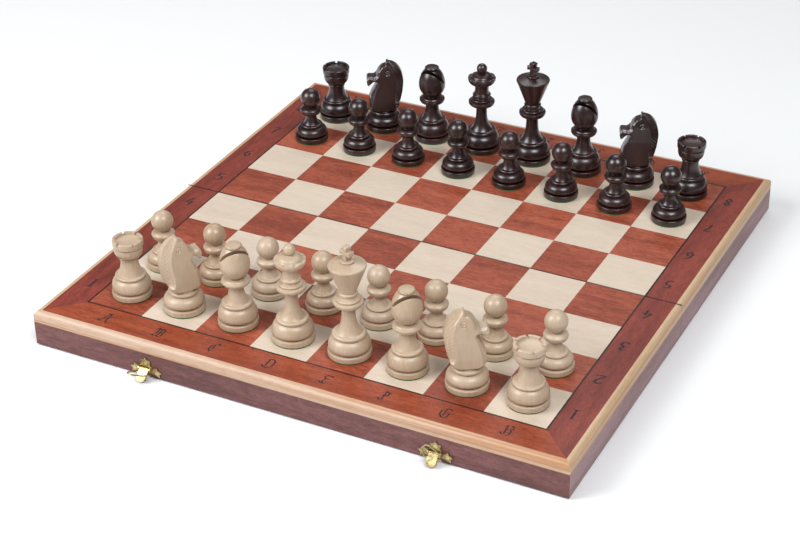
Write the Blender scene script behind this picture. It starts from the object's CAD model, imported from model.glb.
"""The looks of a folding chess board and its men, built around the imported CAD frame.

Lengths in the outlines are millimetres above the playing surface; everything else is in metres.
"""

import math

import bmesh
import bpy
import numpy as np
from mathutils import Matrix, Vector
from mathutils.geometry import delaunay_2d_cdt


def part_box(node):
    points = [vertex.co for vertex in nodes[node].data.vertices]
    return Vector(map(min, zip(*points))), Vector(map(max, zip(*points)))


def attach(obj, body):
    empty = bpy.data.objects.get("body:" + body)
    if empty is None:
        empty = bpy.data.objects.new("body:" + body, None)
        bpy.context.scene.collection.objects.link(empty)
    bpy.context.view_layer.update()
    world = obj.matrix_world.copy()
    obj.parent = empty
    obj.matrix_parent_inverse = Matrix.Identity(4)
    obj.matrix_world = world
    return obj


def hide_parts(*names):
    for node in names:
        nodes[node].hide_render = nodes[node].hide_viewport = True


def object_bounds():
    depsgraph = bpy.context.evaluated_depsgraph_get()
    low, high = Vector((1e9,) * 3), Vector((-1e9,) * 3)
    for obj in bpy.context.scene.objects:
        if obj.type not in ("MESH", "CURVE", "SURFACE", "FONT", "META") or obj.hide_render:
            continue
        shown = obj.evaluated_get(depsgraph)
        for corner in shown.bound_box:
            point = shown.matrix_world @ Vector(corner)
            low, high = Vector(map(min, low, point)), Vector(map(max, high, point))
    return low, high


MM = 0.001
FILES = "abcdefgh"
OFFICERS = ["rook", "knight", "bishop", "queen", "king", "bishop", "knight", "rook"]
SQUARE = 0.05

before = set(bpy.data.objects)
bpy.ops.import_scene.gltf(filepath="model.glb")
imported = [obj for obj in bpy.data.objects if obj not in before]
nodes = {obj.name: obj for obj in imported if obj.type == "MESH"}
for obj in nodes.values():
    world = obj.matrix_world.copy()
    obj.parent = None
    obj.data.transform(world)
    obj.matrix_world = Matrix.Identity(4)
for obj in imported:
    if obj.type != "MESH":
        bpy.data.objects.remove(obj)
cad_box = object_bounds()
BOARD_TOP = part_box("near_light_squares")[1].z


# ---------------------------------------------------------------- materials
class Shader:
    """A material and short ways to add and join its nodes."""

    def __init__(self, name, **sockets):
        self.material = bpy.data.materials.new(name)
        self.material.use_nodes = True
        self.tree = self.material.node_tree
        self.bsdf = self.tree.nodes["Principled BSDF"]
        for key, value in sockets.items():
            self.bsdf.inputs[key.replace("_", " ")].default_value = value

    def node(self, kind, inputs=None, **settings):
        made = self.tree.nodes.new(kind)
        for key, value in settings.items():
            setattr(made, key, value)
        for key, value in (inputs or {}).items():
            self.join(value, made.inputs[key])
        return made

    def join(self, value, socket):
        if isinstance(value, bpy.types.NodeSocket):
            self.tree.links.new(value, socket)
        else:
            socket.default_value = value

    def math(self, operation, a, b=0.0):
        made = self.node("ShaderNodeMath", operation=operation)
        self.join(a, made.inputs[0])
        self.join(b, made.inputs[1])
        return made.outputs[0]

    def vector(self, operation, a, b=(0, 0, 0)):
        made = self.node("ShaderNodeVectorMath", operation=operation)
        self.join(a, made.inputs[0])
        self.join(b, made.inputs[1])
        return made.outputs[0]

    def position(self):
        return self.node("ShaderNodeTexCoord").outputs["Object"]

    def noise(self, where, scale, stretch=(1, 1, 1), detail=3.0, roughness=0.5, distortion=0.0):
        made = self.node("ShaderNodeTexNoise", {
            "Vector": self.vector("MULTIPLY", where, stretch), "Scale": scale, "Detail": detail,
            "Roughness": roughness, "Distortion": distortion,
        })
        return made.outputs["Fac"]

    def ramp(self, value, *stops):
        made = self.node("ShaderNodeValToRGB", {"Fac": value})
        band = made.color_ramp
        while len(band.elements) < len(stops):
            band.elements.new(0.5)
        for element, (place, colour) in zip(band.elements, stops):
            element.position = place
            element.color = (*colour, 1) if len(colour) == 3 else colour
        return made.outputs["Color"]

    def grey(self, value, low, high, at=(0.3, 0.7)):
        made = self.node("ShaderNodeMapRange", {"Value": value, "From Min": at[0], "From Max": at[1]})
        made.inputs["To Min"].default_value = low
        made.inputs["To Max"].default_value = high
        return made.outputs["Result"]

    def mix(self, share, a, b):
        made = self.node("ShaderNodeMix", data_type="RGBA")
        self.join(share, made.inputs["Factor"])
        self.join(a, made.inputs[6])
        self.join(b, made.inputs[7])
        return made.outputs[2]

    def bump(self, height, strength, distance):
        made = self.node("ShaderNodeBump", {"Height": height, "Strength": strength, "Distance": distance})
        self.tree.links.new(made.outputs["Normal"], self.bsdf.inputs["Normal"])

    def colour(self, value):
        self.join(value, self.bsdf.inputs["Base Color"])

    def rough(self, value):
        self.join(value, self.bsdf.inputs["Roughness"])


def rgb(*values):
    return (*values, 1.0)


def flat_wood(
    name, tones, along="X", per_square=False, sides=None, rough=0.42, coat=0.1, pores=0.3, spread=0.16, streak=None
):
    """Veneer with grain along one axis: tones are its dark, middle and light colours.

    With sides, the grain follows the board's four edges, and the left and right ones take those colours.
    With streak, lines of late wood in that colour run along the grain.
    """
    s = Shader(name, Coat_Weight=coat, Coat_Roughness=0.3, Specular_IOR_Level=0.35)
    where = s.position()
    if per_square:
        cell = s.vector("FLOOR", s.vector("DIVIDE", where, (SQUARE, SQUARE, 1.0)))
        random = s.node("ShaderNodeTexWhiteNoise", {"Vector": cell}, noise_dimensions="3D")
        where = s.vector("ADD", where, s.vector("MULTIPLY", random.outputs["Color"], (3.0, 3.0, 3.0)))
    if sides:
        x, y, z = s.node("ShaderNodeSeparateXYZ", {"Vector": where}).outputs
        edge = s.math("GREATER_THAN", s.math("ABSOLUTE", x), s.math("ABSOLUTE", y))
        turned = s.node("ShaderNodeCombineXYZ", {"X": y, "Y": x, "Z": z}).outputs["Vector"]
        where = s.mix(edge, where, turned)
    stretch = (26.0, 120.0, 120.0) if along == "X" else (120.0, 26.0, 120.0)
    wide = (2.0, 14.0, 14.0) if along == "X" else (14.0, 2.0, 14.0)
    lines = s.noise(where, 4.0, stretch, detail=5.0, roughness=0.65, distortion=0.4)
    bands = s.noise(where, 4.0, wide, detail=2.0, distortion=0.8)
    together = s.math("ADD", s.math("MULTIPLY", lines, 0.6), s.math("MULTIPLY", bands, 0.4))
    if per_square:
        shade = s.math("SUBTRACT", random.outputs["Value"], 0.5)
        together = s.math("ADD", together, s.math("MULTIPLY", shade, 0.1))
    steps = (0.5 - spread, 0.5, 0.5 + spread)
    base = s.ramp(together, *zip(steps, tones))
    if sides:
        base = s.mix(edge, base, s.ramp(together, *zip(steps, sides)))
    if streak:
        rings = s.noise(where, 3.0, (0.8, 60.0, 110.0), detail=3.0, roughness=0.45, distortion=0.15)
        base = s.mix(s.grey(rings, 0.0, 0.75, at=(0.5, 0.6)), base, rgb(*streak))
    fine = tuple(v * 3.5 for v in stretch)
    pore = s.noise(where, 3.0, fine, detail=2.0, roughness=0.6)
    dark = s.grey(pore, pores, 0.0, at=(0.34, 0.46))
    s.colour(s.mix(dark, base, rgb(*[v * 0.4 for v in tones[0]])))
    s.rough(s.grey(lines, rough - 0.06, rough + 0.08))
    s.bump(s.math("SUBTRACT", lines, dark), 0.12, 0.0004)
    return s.material


def turned_wood(name, tones, rough, coat, coat_rough, grain=1.0):
    """Lacquered wood turned with the grain standing upright: grain is how much its lines show."""
    s = Shader(name, Coat_Weight=coat, Coat_Roughness=coat_rough)
    where = s.position()
    shift = s.node("ShaderNodeObjectInfo").outputs["Location"]
    where = s.vector("ADD", where, s.vector("MULTIPLY", shift, (7.0, 7.0, 7.0)))
    lines = s.noise(where, 10.0, (60.0, 60.0, 4.0), detail=4.0, roughness=0.6, distortion=0.3)
    cloud = s.noise(where, 22.0, (1.0, 1.0, 0.6), detail=3.0)
    share = 0.55 * grain
    together = s.math("ADD", s.math("MULTIPLY", lines, share), s.math("MULTIPLY", cloud, 1.0 - share))
    s.colour(s.ramp(together, *zip((0.32, 0.5, 0.68), tones)))
    s.rough(s.grey(cloud, rough - 0.05, rough + 0.06))
    s.bump(lines, 0.08, 0.0002)
    return s.material


def brass(name, tone, rough):
    """Dull cast brass with darker patches and fine scratches."""
    s = Shader(name, Metallic=1.0)
    where = s.position()
    patches = s.noise(where, 260.0, detail=4.0)
    scratches = s.noise(where, 900.0, (1.0, 0.2, 1.0), detail=2.0)
    dull, bright = [v * 0.45 for v in tone], [v * 1.15 for v in tone]
    s.colour(s.ramp(patches, (0.3, dull), (0.5, tone), (0.7, bright)))
    s.rough(s.grey(scratches, rough - 0.08, rough + 0.12))
    s.bump(patches, 0.25, 0.0002)
    return s.material


maple = flat_wood(
    "maple_veneer", [(0.53, 0.425, 0.32), (0.60, 0.49, 0.385), (0.65, 0.54, 0.435)],
    per_square=True, pores=0.05, spread=0.22,
)
mahogany = flat_wood(
    "mahogany_veneer", [(0.20, 0.036, 0.016), (0.315, 0.066, 0.031), (0.42, 0.10, 0.05)],
    per_square=True, pores=0.6, spread=0.12,
)
border_wood = flat_wood(
    "mahogany_border", [(0.19, 0.03, 0.010), (0.275, 0.048, 0.016), (0.36, 0.075, 0.028)],
    sides=[(0.13, 0.018, 0.012), (0.20, 0.032, 0.020), (0.27, 0.05, 0.03)], pores=0.6, spread=0.14,
)
line_wood = flat_wood("black_line", [(0.012, 0.003, 0.003), (0.020, 0.005, 0.004), (0.032, 0.008, 0.006)])
strip_wood = flat_wood(
    "edge_strip", [(0.44, 0.26, 0.15), (0.55, 0.375, 0.265), (0.60, 0.44, 0.34)],
    sides=[(0.46, 0.28, 0.14), (0.54, 0.37, 0.22), (0.58, 0.42, 0.30)],
    pores=0.1, spread=0.25, streak=(0.46, 0.20, 0.075),
)
rail_wood = flat_wood(
    "dark_rail", [(0.10, 0.034, 0.030), (0.155, 0.056, 0.052), (0.21, 0.082, 0.078)], pores=0.5, spread=0.12
)
side_rail_wood = flat_wood(
    "dark_side_rail", [(0.18, 0.075, 0.075), (0.27, 0.14, 0.145), (0.36, 0.215, 0.23)],
    along="Y", pores=0.45, spread=0.12,
)
ply_wood = flat_wood("birch_panel", [(0.40, 0.29, 0.19), (0.49, 0.37, 0.25), (0.56, 0.44, 0.30)], rough=0.6, coat=0.0)
pale_wood = turned_wood(
    "pale_hornbeam", [(0.39, 0.27, 0.165), (0.475, 0.35, 0.24), (0.54, 0.42, 0.305)],
    rough=0.4, coat=0.35, coat_rough=0.28, grain=0.7,
)
dark_wood = turned_wood(
    "dark_stained_wood", [(0.006, 0.0015, 0.0015), (0.017, 0.004, 0.004), (0.045, 0.009, 0.008)],
    rough=0.36, coat=0.65, coat_rough=0.24,
)
antique_brass = brass("antique_brass", (0.46, 0.37, 0.18), 0.32)
screw_brass = brass("brass_screw", (0.66, 0.54, 0.28), 0.3)
fibres = Shader("green_felt", Sheen_Weight=0.3, Roughness=1.0)
tufts = fibres.noise(fibres.position(), 900.0, detail=4.0)
fibres.colour(fibres.ramp(tufts, (0.3, (0.006, 0.09, 0.022)), (0.7, (0.014, 0.17, 0.042))))
felt = fibres.material

CAD_LOOKS = {
    "light_squares": maple,
    "dark_squares": mahogany,
    "border_veneer": border_wood,
    "inlay_line": line_wood,
    "edge_strip": strip_wood,
    "end_rail": rail_wood,
    "side_rails": side_rail_wood,
    "spine_rail": rail_wood,
    "panel": ply_wood,
    "hinge_leaves": antique_brass,
    "fasteners": screw_brass,
}
CLASP_NODES = ["clasp_plates", "catches", "left_lever", "right_lever", "left_loop", "right_loop"]


def dressed(node, look):
    nodes[node].data.materials.clear()
    nodes[node].data.materials.append(look)


for half in ("near", "far"):
    for part, look in CAD_LOOKS.items():
        dressed(f"{half}_{part}", look)
for name in CLASP_NODES:
    dressed(name, antique_brass)


# ---------------------------------------------------------------- outlines of the men
def oval(cx, cz, a, b, start, end, n=20):
    steps = [math.radians(start + (end - start) * i / n) for i in range(n + 1)]
    return [(cx + a * math.cos(t), cz + b * math.sin(t)) for t in steps]


def flare(z0, r0, z1, r1, p, n=20):
    return [(r1 + (r0 - r1) * (1 - i / n) ** p, z0 + (z1 - z0) * i / n) for i in range(n + 1)]


def bead(z0, z1, r, n=12):
    h = (z1 - z0) / 2
    return oval(r - h, z0 + h, h, h, -90, 90, n)


def foot(r):
    return [(0, 1), (r - 0.3, 1), (r, 1.3), *oval(r - 0.7, 4.9, 0.7, 0.7, 0, 90, 6), (r - 2.6, 5.6)]


def cushion(r, z, up, reach):
    under = (z - 5.7) / math.sin(math.radians(60))
    return [*oval(r - reach, z, reach, under, -60, 0, 10), *oval(r - reach, z, reach, up, 6, 68, 20)]


OUTLINES = {
    "king": [
        *foot(17.3), *cushion(16.7, 9.3, 8.6, 6.9), *bead(17.5, 20.9, 13.5), *flare(21, 10.4, 42.4, 5.4, 3.3),
        *oval(5.6, 47.9, 6.3, 4.4, -80, 0), (11.9, 48.9), (10.2, 49.6), *bead(49.6, 51.6, 9.8),
        (6.8, 52.3), (6.6, 54.2), *bead(54.4, 56.8, 7.6), *flare(57.2, 6.5, 78.8, 14.7, 1),
        *oval(14, 79.4, 0.9, 1.3, 0, 70, 6), (7, 82.3), (5.6, 82.6), *bead(82.6, 84.2, 5.6), (2.6, 84.6),
        (2.2, 85.8), (0, 85.8),
    ],
    "queen": [
        *foot(17.2), *cushion(16.6, 9.3, 8.9, 6.9), *bead(17.7, 20.8, 13.1), *flare(20.9, 10, 42.6, 4.9, 3.5),
        *oval(5.2, 47.9, 6.7, 4.2, -80, 0), (11.8, 48.9), (10, 49.7), *bead(49.7, 51.6, 9.6), (7, 52.2),
        (6.8, 53.8), *bead(53.9, 56.4, 8.2), (6.6, 56.8), (6.1, 60.8), (6.5, 64.8),
        *oval(6.4, 71.2, 6.2, 6, -70, 0), (12.5, 72.2), (11.4, 72.6), (10.3, 72), (9.7, 72.7),
        *oval(0, 72.4, 9.6, 4.2, 6, 70),
        (2.5, 76.42), *oval(0, 80.5, 4.8, 4.8, -56, 90, 24),
    ],
    "bishop": [
        *foot(16.4), *cushion(15.9, 9.3, 9.2, 6.4), *bead(18.2, 21.3, 12.5),
        *flare(21.4, 9.7, 35.6, 5.9, 2.6), *oval(6, 40.2, 5.6, 4, -80, 0),
        (11.5, 41), (9.8, 41.7), (9.2, 42.5), (5.3, 42.9),
        *oval(0, 55, 12.1, 12.6, -62, 0), *oval(0, 55, 12.1, 17.6, 4, 58), *bead(70, 72.5, 6.5), (0, 73),
    ],
    "rook": [
        *foot(16.4), *cushion(16, 9.3, 8.6, 6.4), *bead(17.4, 20.3, 12.7), *flare(20.4, 10.5, 33.4, 7.1, 2.2),
        *bead(33.9, 35.7, 8), *oval(7.6, 43.1, 4, 6.6, -78, 0), (11.6, 45.1), (11, 45.6), (12.2, 46.3),
        (12.5, 47.1), (12.5, 51.7), (12, 52.2), (9.8, 52.2), (9.4, 49.9), (7, 49.3), (0, 49.1),
    ],
    "pawn": [
        *foot(15.2), *cushion(14.2, 8.6, 5.8, 6), *bead(14.1, 16.7, 10.2), *flare(16.8, 7.6, 25.6, 4.7, 2.1),
        *oval(4.9, 30.8, 4.8, 5, -78, 0), (9.5, 31.6), (8.7, 32.4), (7.4, 33.2), (4.3, 33.5),
        *oval(0, 42.2, 9.1, 9.1, -59, 90, 32),
    ],
    "knight": [
        *foot(17), *cushion(16.4, 9.3, 6.6, 7), (11, 15.7), *bead(15.9, 19.5, 12.3), (9.8, 20), (9.8, 21),
        (10.9, 21.3), (10.9, 22.3), (0, 22.3),
    ],
}
FELT_R = {"king": 16.8, "queen": 16.8, "knight": 16.6, "bishop": 15.9, "rook": 15.9, "pawn": 14.8}


def softened(points, reach=0.22, angle=18):
    """The outline with each sharp corner cut to a small round."""
    kept = [points[0]]
    for before, here, after in zip(points, points[1:], points[2:]):
        a, b, c = Vector(before), Vector(here), Vector(after)
        u, v = a - b, c - b
        if u.length < 1e-6 or v.length < 1e-6:
            continue
        if math.degrees(u.angle(v)) > 180 - angle:
            kept.append(here)
            continue
        p = b + u.normalized() * min(reach, u.length / 2.2)
        q = b + v.normalized() * min(reach, v.length / 2.2)
        for t in (0, 0.33, 0.67, 1):
            kept.append(tuple(p * (1 - t) ** 2 + b * 2 * t * (1 - t) + q * t**2))
    kept.append(points[-1])
    return kept


def lathe(outline, segments=96):
    """A bmesh turned about Z from (radius, height) points in millimetres."""
    bm = bmesh.new()
    rings = []
    for r, z in outline:
        if r < 1e-6:
            rings.append([bm.verts.new((0, 0, z * MM))])
            continue
        turn = [2 * math.pi * i / segments for i in range(segments)]
        rings.append([bm.verts.new((r * MM * math.cos(t), r * MM * math.sin(t), z * MM)) for t in turn])
    for low, high in zip(rings, rings[1:]):
        for i in range(segments):
            j = (i + 1) % segments
            if len(low) == 1:
                bm.faces.new((low[0], high[j], high[i]))
            elif len(high) == 1:
                bm.faces.new((low[i], low[j], high[0]))
            else:
                bm.faces.new((low[i], low[j], high[j], high[i]))
    return bm


def to_mesh(bm, name, sharp=38):
    mesh = bpy.data.meshes.new(name)
    bmesh.ops.recalc_face_normals(bm, faces=bm.faces)
    bm.to_mesh(mesh)
    bm.free()
    mesh.polygons.foreach_set("use_smooth", [True] * len(mesh.polygons))
    mesh.set_sharp_from_angle(angle=math.radians(sharp))
    return mesh


def linked(name, mesh):
    made = bpy.data.objects.new(name, mesh)
    bpy.context.scene.collection.objects.link(made)
    return made


def block(size, at, turn=Matrix.Identity(4)):
    """A box as a bmesh, in metres: its corner-to-corner size, its centre, then turned."""
    bm = bmesh.new()
    bmesh.ops.create_cube(bm, size=1.0, matrix=turn @ Matrix.Translation(at) @ Matrix.Diagonal((*size, 1)))
    return bm


def cut(mesh, cutters, name):
    """The mesh with each cutter bmesh taken out of it."""
    body = linked(name + "_whole", mesh)
    tools = []
    for i, bm in enumerate(cutters):
        tool = linked(f"{name}_cutter{i}", to_mesh(bm, f"{name}_cutter{i}"))
        step = body.modifiers.new("cut", "BOOLEAN")
        step.operation, step.solver, step.object = "DIFFERENCE", "EXACT", tool
        tools.append(tool)
    bpy.context.view_layer.update()
    shaped = bpy.data.meshes.new_from_object(body.evaluated_get(bpy.context.evaluated_depsgraph_get()))
    shaped.name = name
    for extra in (body, *tools):
        bpy.data.objects.remove(extra)
    shaped.set_sharp_from_angle(angle=math.radians(30))
    return shaped


def extruded(outline, thick):
    """A flat outline in X and Z, in millimetres, given a thickness along Y."""
    bm = bmesh.new()
    verts = [bm.verts.new((x * MM, -thick / 2 * MM, z * MM)) for x, z in outline]
    face = bm.faces.new(verts)
    made = bmesh.ops.extrude_face_region(bm, geom=[face])
    moved = [v for v in made["geom"] if isinstance(v, bmesh.types.BMVert)]
    bmesh.ops.translate(bm, verts=moved, vec=(0, thick * MM, 0))
    return bm


def scalloped(bm):
    """The queen's coronet: nine round notches in its rim."""
    for v in bm.verts:
        r = math.hypot(v.co.x, v.co.y) / MM
        z = v.co.z / MM
        if r < 9.9 or z < 69.8:
            continue
        turn = math.degrees(math.atan2(v.co.y, v.co.x)) % 40
        off = math.radians(min(turn, 40 - turn)) * r
        if off < 2.6:
            v.co.z = min(z, 74 - math.sqrt(2.6**2 - off**2)) * MM


# The king's cross, as X and Z about its middle
CROSS = [
    (-2.6, -5.6), (2.6, -5.6), (1.7, -1.3), (5.3, -2.3), (5.3, 2.3), (1.7, 1.3),
    (2.8, 5.4), (-2.8, 5.4), (-1.7, 1.3), (-5.3, 2.3), (-5.3, -2.3), (-1.7, -1.3),
]
# The knight's head from the side, facing +X: chest, jaw, muzzle, brow and ear, then down the mane
HEAD_SIDE = [
    (11.2, 21.5), (13.4, 24.4), (14.1, 27.6), (13.4, 32), (11.2, 37.4), (8.2, 43), (5.6, 47.2), (5.8, 49.2),
    (7.6, 50.2), (9.8, 49.4), (12, 47.4), (13.8, 46), (15.2, 46.2), (15.8, 49.6), (15.4, 53), (14.2, 54.2),
    (11.4, 54.2), (8.8, 53.9), (6.8, 55.4), (5, 58.8), (3, 61.8), (0.4, 64), (-2, 64.6), (-2.6, 67.6),
    *oval(-4.2, 48, 13.9, 20, 85, 180, 24),
    (-17.6, 42.5), (-16.9, 37.4), (-15.4, 31), (-13.6, 26.4), (-11.2, 21.5),
]
# Height and half thickness of the knight's head, and height and radius of the blank it is cut from
HEAD_FRONT = [(21.5, 11.4), (30, 11), (44, 9.6), (58, 7.4), (65, 4.9), (69, 4.2)]
HEAD_BLANK = [(21.5, 12.6), (23, 14), (25, 15.6), (28, 17), (32, 18), (40, 20), (72, 20)]


def evenly(outline, step):
    """A closed outline with a point about every step."""
    points = []
    for a, b in zip(outline, outline[1:] + outline[:1]):
        a, b = Vector(a), Vector(b)
        parts = max(1, round((b - a).length / step))
        points += [a.lerp(b, i / parts) for i in range(parts)]
    return np.array(points)


def bevel_at(x, z):
    """How wide the carved bevel is at a point of the outline, and how thick the rim is left."""
    if x < -4 and z > 27:
        return 7.0, 0.45
    if x > 4 and 24 < z < 44:
        return min(4.2, 1.0 + 0.26 * (44 - z)), 0.6
    if x > 5 and z > 52:
        return 2.4, 0.7
    return 0.9, 0.86


def inward(rim):
    """The unit vectors pointing from each point of a closed outline to its inside."""
    along = np.roll(rim, -1, 0) - np.roll(rim, 1, 0)
    side = np.stack([-along[:, 1], along[:, 0]], 1)
    return side / np.linalg.norm(side, axis=1, keepdims=True)


def knight_head():
    """The carved head: a flat-sided slab, bevelled along the mane and chest, facing +X."""
    rim = evenly(softened(HEAD_SIDE + HEAD_SIDE[:1], 0.9, 12)[:-1], 0.5)
    bevels = np.array([bevel_at(x, z) for x, z in rim])
    creases = (rim + inward(rim) * bevels[:, :1])[bevels[:, 0] > 2]
    creases = creases[np.linalg.norm(creases[:, None] - rim[None], axis=2).min(1) > 1.9]
    xs, zs = np.meshgrid(np.arange(-17, 18, 0.42), np.arange(21.7, 69, 0.42))
    grid = np.stack([xs.ravel(), zs.ravel()], 1)
    fixed = np.concatenate([rim, creases])
    gap = np.linalg.norm(grid[:, None] - fixed[None], axis=2).min(1)
    points = np.concatenate([fixed, grid[gap > 0.36]])
    verts, _, faces, *_ = delaunay_2d_cdt([Vector(p) for p in points], [], [list(range(len(rim)))], 1, 1e-5)
    flat = np.array(verts)
    x, z = flat[:, 0], flat[:, 1]
    away = np.linalg.norm(flat[:, None] - rim[None], axis=2)
    depth = away.min(1)
    near = 1 / (away + 0.05) ** 4
    width, share = (near @ bevels / near.sum(1, keepdims=True)).T
    full = np.interp(z, *zip(*HEAD_FRONT))
    muzzle = np.clip((x - 6.5) / 4, 0, 1) * np.clip((z - 44) / 3, 0, 1)
    full *= 1 - 0.2 * muzzle**2 * (3 - 2 * muzzle)
    half = full * (share + (1 - share) * np.clip(depth / width, 0, 1))
    half = np.minimum(half, np.sqrt(np.maximum(np.interp(z, *zip(*HEAD_BLANK)) ** 2 - x**2, 0.02)))
    from_eye = np.hypot(x + 3.4, z - 58.4)
    half -= 0.7 * np.exp(-(((from_eye - 2.0) / 0.42) ** 2)) + 1.2 * np.exp(-((from_eye / 0.75) ** 2))
    nostril = np.hypot((x - 13.4) / 0.9, (z - 51.4) / 0.6)
    mouth = np.abs(z - 48.6 + 0.25 * (x - 13)) / 0.35
    half -= 0.5 * np.exp(-(nostril**2)) + 0.45 * np.exp(-(mouth**2)) * (x > 11.2)
    hatch = (0.5 + 0.5 * np.cos(2 * math.pi * (0.64 * z - 0.77 * x) / 2.0)) * (x < -5) * (z > 30) * (z < 63)
    half -= 0.3 * hatch * np.clip(depth / 1.2, 0, 1) * np.clip((width - depth) / 0.9, 0, 1)
    bm = bmesh.new()
    sides = [
        [bm.verts.new((a * MM, sign * h * MM, b * MM)) for a, b, h in zip(x, z, half)] for sign in (1, -1)
    ]
    edges = {}
    for face in faces:
        for side in sides:
            bm.faces.new([side[i] for i in face])
        for i, j in zip(face, face[1:] + face[:1]):
            edges[frozenset((i, j))] = edges.get(frozenset((i, j)), 0) + 1
    for pair, count in edges.items():
        if count == 1:
            i, j = pair
            bm.faces.new((sides[0][i], sides[0][j], sides[1][j], sides[1][i]))
    return bm


def joined(name, meshes):
    """One mesh from several."""
    bm = bmesh.new()
    for mesh in meshes:
        bm.from_mesh(mesh)
    made = bpy.data.meshes.new(name)
    bm.to_mesh(made)
    bm.free()
    return made


def about_z(degrees):
    return Matrix.Rotation(math.radians(degrees), 4, "Z")


def man_shape(kind, name):
    """The wooden body of one kind of man, as a list of meshes."""
    bm = lathe(softened(OUTLINES[kind]))
    if kind == "queen":
        scalloped(bm)
    meshes = [to_mesh(bm, name)]
    if kind == "rook":
        kerfs = [block((0.040, 0.002, 0.005), (0, 0, 0.0526), about_z(a)) for a in (18, 78, 138)]
        meshes = [cut(meshes[0], kerfs, name)]
    if kind == "bishop":
        tilt = Matrix.Translation((0, 0, 0.058)) @ Matrix.Rotation(math.radians(-57), 4, "Y")
        meshes = [cut(meshes[0], [block((0.030, 0.040, 0.0026), (0.015, 0, 0), tilt)], name)]
    if kind == "king":
        cross = extruded(CROSS, 6)
        bmesh.ops.bevel(cross, geom=cross.edges[:], offset=0.0009, segments=3, affect="EDGES", profile=0.6)
        cross.transform(Matrix.Translation((0, 0, 0.0909)) @ about_z(-22))
        meshes.append(to_mesh(cross, name + "_cross", 50))
    if kind == "knight":
        meshes.append(to_mesh(knight_head(), name + "_head", 40))
    return meshes


def felt_disc(kind):
    r = FELT_R[kind]
    profile = [(0, 0), (r - 0.15, 0), (r, 0.15), (r, 0.85), (r - 0.1, 1.0), (0, 1.0)]
    return to_mesh(lathe(profile), kind + "_felt")


# Each side's wood, slot, officers' row, pawns' row, and its officers' turns about their own axes from
# file A to file H, in degrees
ARMIES = {
    "white": (pale_wood, "pale_hornbeam", 0, 1, [4, 55, -45, 0, 0, -45, 31, -14]),
    "black": (dark_wood, "dark_stained_wood", 7, 6, [-21, 210, -90, 0, 0, -90, 204, 3]),
}

shapes = {}
for side, (look, *_) in ARMIES.items():
    for kind in OUTLINES:
        name = f"{kind}_{side}"
        whole = joined(name + "_wood", man_shape(kind, name))
        whole.materials.append(look)
        whole.polygons.foreach_set("use_smooth", [True] * len(whole.polygons))
        whole.set_sharp_from_angle(angle=math.radians(35))
        disc = felt_disc(kind)
        disc.materials.append(felt)
        shapes[kind, side] = (whole, disc)

for side, (_, slot, officer_row, pawn_row, turns) in ARMIES.items():
    for col, file in enumerate(FILES):
        for kind, row, turn in ((OFFICERS[col], officer_row, turns[col]), ("pawn", pawn_row, 0)):
            node = f"{side}_{kind}_{file}"
            body, under = shapes[kind, side]
            wood, disc = linked(f"{node}_wood", body), linked(f"{node}_felt", under)
            for piece in (wood, disc):
                piece.location = ((col - 3.5) * SQUARE, (row - 3.5) * SQUARE, BOARD_TOP)
                piece.rotation_euler.z = math.radians(turn)
                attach(piece, node.replace("_", " "))
            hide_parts(node)

# ---------------------------------------------------------------- darkened edges along the fold
SEAM_END = 232.3
SEAM_LIFT = 4e-5
for half, low, high in (("near", -0.6, 0), ("far", 0.3, 0.9)):
    bm = bmesh.new()
    corners = [(-SEAM_END, low), (SEAM_END, low), (SEAM_END, high), (-SEAM_END, high)]
    bm.faces.new([bm.verts.new((x * MM, y * MM, BOARD_TOP + SEAM_LIFT)) for x, y in corners])
    seam = linked(f"{half}_fold_edge", to_mesh(bm, f"{half}_fold_edge"))
    seam.data.materials.append(line_wood)
    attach(seam, f"{half} half")

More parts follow.
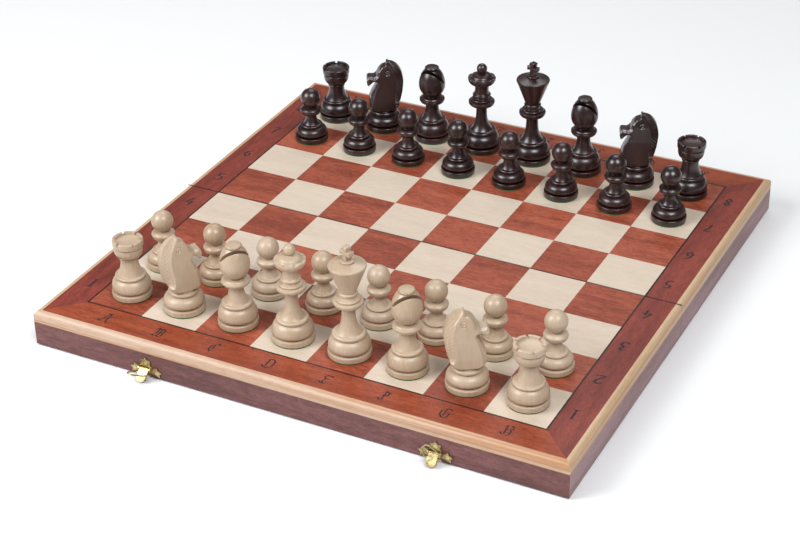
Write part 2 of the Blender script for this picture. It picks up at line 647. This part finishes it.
# ---------------------------------------------------------------- burnt coordinates on the border
# Pen strokes of each figure on a field 6 wide and 9 high
STROKES = {
    "A": [
        [(-1.0, 0.9), (0.2, 1.9), (1.3, 0.6), (2.4, 1.6)], [(1.6, 2.2), (4.3, 8.6)],
        [(3.2, 8.3), (5.0, 8.6), (5.0, 1.2), (6.2, 0.4)], [(2.6, 3.8), (5.0, 4.1)],
    ],
    "B": [
        [(-0.8, 0.6), (0.4, 1.7), (1.8, 0.7), (3.4, 1.4)], [(0.6, 6.8), (1.8, 8.4), (3.2, 7.4)],
        [(2.3, 8.0), (2.3, 3.0), (1.4, 1.9)], [(4.0, 8.2), (4.0, 2.0)],
        [(4.0, 8.2), (6.0, 7.2), (6.0, 1.8), (4.6, 0.5), (3.4, 1.4)], [(4.0, 4.8), (6.0, 4.4)],
    ],
    "C": [
        [(5.6, 8.0), (4.2, 8.6), (1.8, 6.6), (1.4, 3.0), (2.8, 0.6), (4.4, 1.8)], [(3.2, 7.2), (3.4, 3.4)],
        [(4.6, 8.8), (6.2, 7.6)],
    ],
    "D": [
        [(-0.8, 0.8), (0.4, 1.9), (2.0, 0.6), (4.6, 0.6)], [(2.4, 8.0), (2.4, 2.0)],
        [(1.6, 7.2), (2.6, 8.6), (4.6, 8.4), (5.9, 6.8), (5.9, 2.2), (4.6, 0.6)],
    ],
    "E": [
        [(-0.8, 0.6), (0.4, 1.9), (1.8, 0.6), (3.8, 0.8), (5.0, 2.0)],
        [(3.0, 8.8), (1.6, 6.6), (2.8, 4.8), (1.8, 2.6), (3.0, 0.8)], [(2.4, 7.4), (4.2, 8.4), (6.2, 7.6)],
        [(2.6, 4.8), (4.8, 5.2)],
    ],
    "F": [
        [(-0.8, 0.8), (0.4, 1.9), (1.8, 0.4), (2.8, 1.4)], [(1.2, 7.0), (2.6, 8.6), (4.2, 7.6), (5.8, 8.4)],
        [(2.8, 8.2), (2.8, 1.4)], [(1.8, 4.6), (4.8, 5.0)], [(4.6, 7.8), (4.6, 5.4)],
    ],
    "G": [
        [(5.0, 8.2), (3.0, 8.6), (0.9, 6.2), (0.9, 2.8), (2.8, 0.4), (5.2, 1.2), (5.6, 4.6), (4.0, 4.8)],
        [(3.0, 7.6), (3.0, 2.0)], [(5.0, 8.6), (6.0, 7.4)],
    ],
    "H": [
        [(-0.8, 0.8), (0.4, 1.9), (1.6, 0.4), (2.6, 1.2)], [(0.9, 7.2), (2.2, 8.7), (2.6, 1.2)],
        [(2.4, 4.6), (4.4, 5.8), (5.4, 4.4), (5.2, 1.4), (3.8, -0.4)], [(4.2, 8.8), (6.0, 7.8)],
        [(5.4, 6.8), (6.2, 6.0)],
    ],
    "1": [
        [(2.2, 7.8), (3.2, 8.6), (3.1, 0.6)], [(1.4, 0.4), (4.6, 0.6)],
    ],
    "2": [
        [(1.0, 6.8), (2.8, 8.6), (4.9, 7.4), (4.4, 5.2), (0.9, 0.8)], [(0.9, 0.7), (5.0, 0.7), (5.6, 1.6)],
    ],
    "3": [
        [(1.0, 8.0), (3.0, 8.7), (4.6, 7.4), (2.6, 5.2), (4.8, 3.4), (4.2, 1.0), (2.4, 0.2), (0.9, 1.2)],
    ],
    "4": [
        [(3.4, 8.8), (0.8, 3.2), (5.4, 3.6)], [(3.9, 5.4), (3.7, 0.3)],
    ],
    "5": [
        [(5.0, 8.6), (1.8, 8.2), (1.6, 5.0), (3.8, 5.4), (4.8, 3.0), (3.4, 0.5), (1.0, 0.8)],
    ],
    "6": [
        [(4.8, 8.6), (2.2, 6.8), (1.3, 2.8), (3.0, 0.4), (4.8, 2.0), (4.0, 4.8), (1.8, 4.2)],
    ],
    "7": [
        [(0.8, 7.6), (2.4, 8.5), (5.0, 8.2), (3.0, 4.0), (2.6, 0.2)],
    ],
    "8": [
        [(3.0, 8.8), (1.4, 7.0), (4.6, 2.8), (3.0, 0.3), (1.3, 2.2), (4.5, 6.8), (3.0, 8.8)],
    ],
}
# Half width, half thickness and slant of the pen
LETTER_NIB = (0.44, 0.12, math.radians(38))
DIGIT_NIB = (0.62, 0.18, math.radians(20))
LETTER_SCALE = 1.45
FIGURE_MIDDLE = (3, 4.5)
# How far out the figures stand from the board's middle, and on its right-hand border
LETTER_OUT = 0.2142
RIGHT_OUT = 0.2116
LETTER_LIFT = 3e-5
# Each segment of a stroke lies this much above the one before it, with room for so many segments to a stroke
SEGMENT_LIFT = 2e-6
SEGMENTS = 8


def turns_left(a, b, c):
    return (b[0] - a[0]) * (c[1] - a[1]) > (b[1] - a[1]) * (c[0] - a[0])


def hull(points):
    """Corners of the convex hull, anticlockwise."""
    points = sorted(set(points))
    halves = []
    for order in (points, points[::-1]):
        chain = []
        for p in order:
            while len(chain) > 1 and not turns_left(chain[-2], chain[-1], p):
                chain.pop()
            chain.append(p)
        halves += chain[:-1]
    return halves


def written(bm, figure, at, turned_round):
    """Adds a figure in broad pen strokes, lying on the board with its middle at a point."""
    wide, thin, slant = DIGIT_NIB if figure.isdigit() else LETTER_NIB
    cos, sin = math.cos(slant), math.sin(slant)
    nib = [(a * wide * cos - b * thin * sin, a * wide * sin + b * thin * cos) for a in (-1, 1) for b in (-1, 1)]
    scale = (-1 if turned_round else 1) * LETTER_SCALE
    middle = FIGURE_MIDDLE
    for level, stroke in enumerate(STROKES[figure]):
        for number, ends in enumerate(zip(stroke, stroke[1:])):
            corners = hull([(round(x + dx, 4), round(y + dy, 4)) for x, y in ends for dx, dy in nib])
            height = BOARD_TOP + LETTER_LIFT + (level * SEGMENTS + number) * SEGMENT_LIFT
            bm.faces.new([
                bm.verts.new((at[0] + scale * (x - middle[0]) * MM, at[1] + scale * (y - middle[1]) * MM, height))
                for x, y in corners
            ])


scorched = Shader("burnt_letter", Roughness=0.7)
scorch = scorched.noise(scorched.position(), 1500.0, detail=3.0)
scorched.colour(scorched.ramp(
    scorch, (0.3, (0.008, 0.006, 0.010)), (0.6, (0.02, 0.014, 0.018)), (0.75, (0.10, 0.035, 0.03))
))
for half, sign in (("near", -1), ("far", 1)):
    bm = bmesh.new()
    for col, letter in enumerate(FILES.upper()):
        written(bm, letter, ((col - 3.5) * SQUARE, sign * LETTER_OUT), sign > 0)
    for row in range(4) if half == "near" else range(4, 8):
        for out in (-LETTER_OUT, RIGHT_OUT):
            written(bm, str(row + 1), (out, (row - 3.5) * SQUARE), out > 0)
    letters = linked(f"{half}_coordinates", to_mesh(bm, f"{half}_coordinates"))
    letters.data.materials.append(scorched.material)
    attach(letters, f"{half} half")

# ---------------------------------------------------------------- floor, light and camera
bpy.ops.mesh.primitive_plane_add(size=8, location=(0, 0, cad_box[0][2]))
floor = bpy.context.object
floor.name = "floor"
paper = Shader("floor", Base_Color=rgb(0.84, 0.84, 0.84), Roughness=0.9)
floor.data.materials.append(paper.material)

world = bpy.data.worlds.new("studio")
bpy.context.scene.world = world
world.use_nodes = True
world.node_tree.nodes["Background"].inputs["Color"].default_value = rgb(1.0, 0.94, 0.88)
world.node_tree.nodes["Background"].inputs["Strength"].default_value = 0.14


def softbox(name, at, size, power):
    """A square or oblong lamp aimed at the middle of the board."""
    light = bpy.data.lights.new(name, "AREA")
    light.shape, light.size, light.size_y, light.energy = "RECTANGLE", size[0], size[1], power
    light.color = (0.94, 0.97, 1.0)
    made = bpy.data.objects.new(name, light)
    bpy.context.scene.collection.objects.link(made)
    made.location = at
    made.rotation_euler = (-Vector(at)).to_track_quat("-Z", "Y").to_euler()


softbox("softbox_left", (-1.25, -1.3, 1.4), (1.2, 1.2), 46)
softbox("softbox_right", (1.15, -0.88, 2.0), (1.1, 1.1), 44)
softbox("softbox_behind", (-0.5, 1.4, 2.1), (1.4, 1.4), 16)

camera = bpy.data.cameras.new("camera")
camera.lens = 87.29
camera.sensor_width = 36
camera.clip_end = 20
viewer = bpy.data.objects.new("camera", camera)
bpy.context.scene.collection.objects.link(viewer)
viewer.matrix_world = Matrix(
    (
        (0.89231471, -0.2241155, 0.39185036, 0.6312),
        (0.45118588, 0.4703718, -0.75840732, -1.2618),
        (-0.01434452, 0.85353536, 0.52083743, 0.8665),
        (0, 0, 0, 1),
    )
)
bpy.context.scene.camera = viewer
bpy.context.scene.view_settings.view_transform = "Standard"
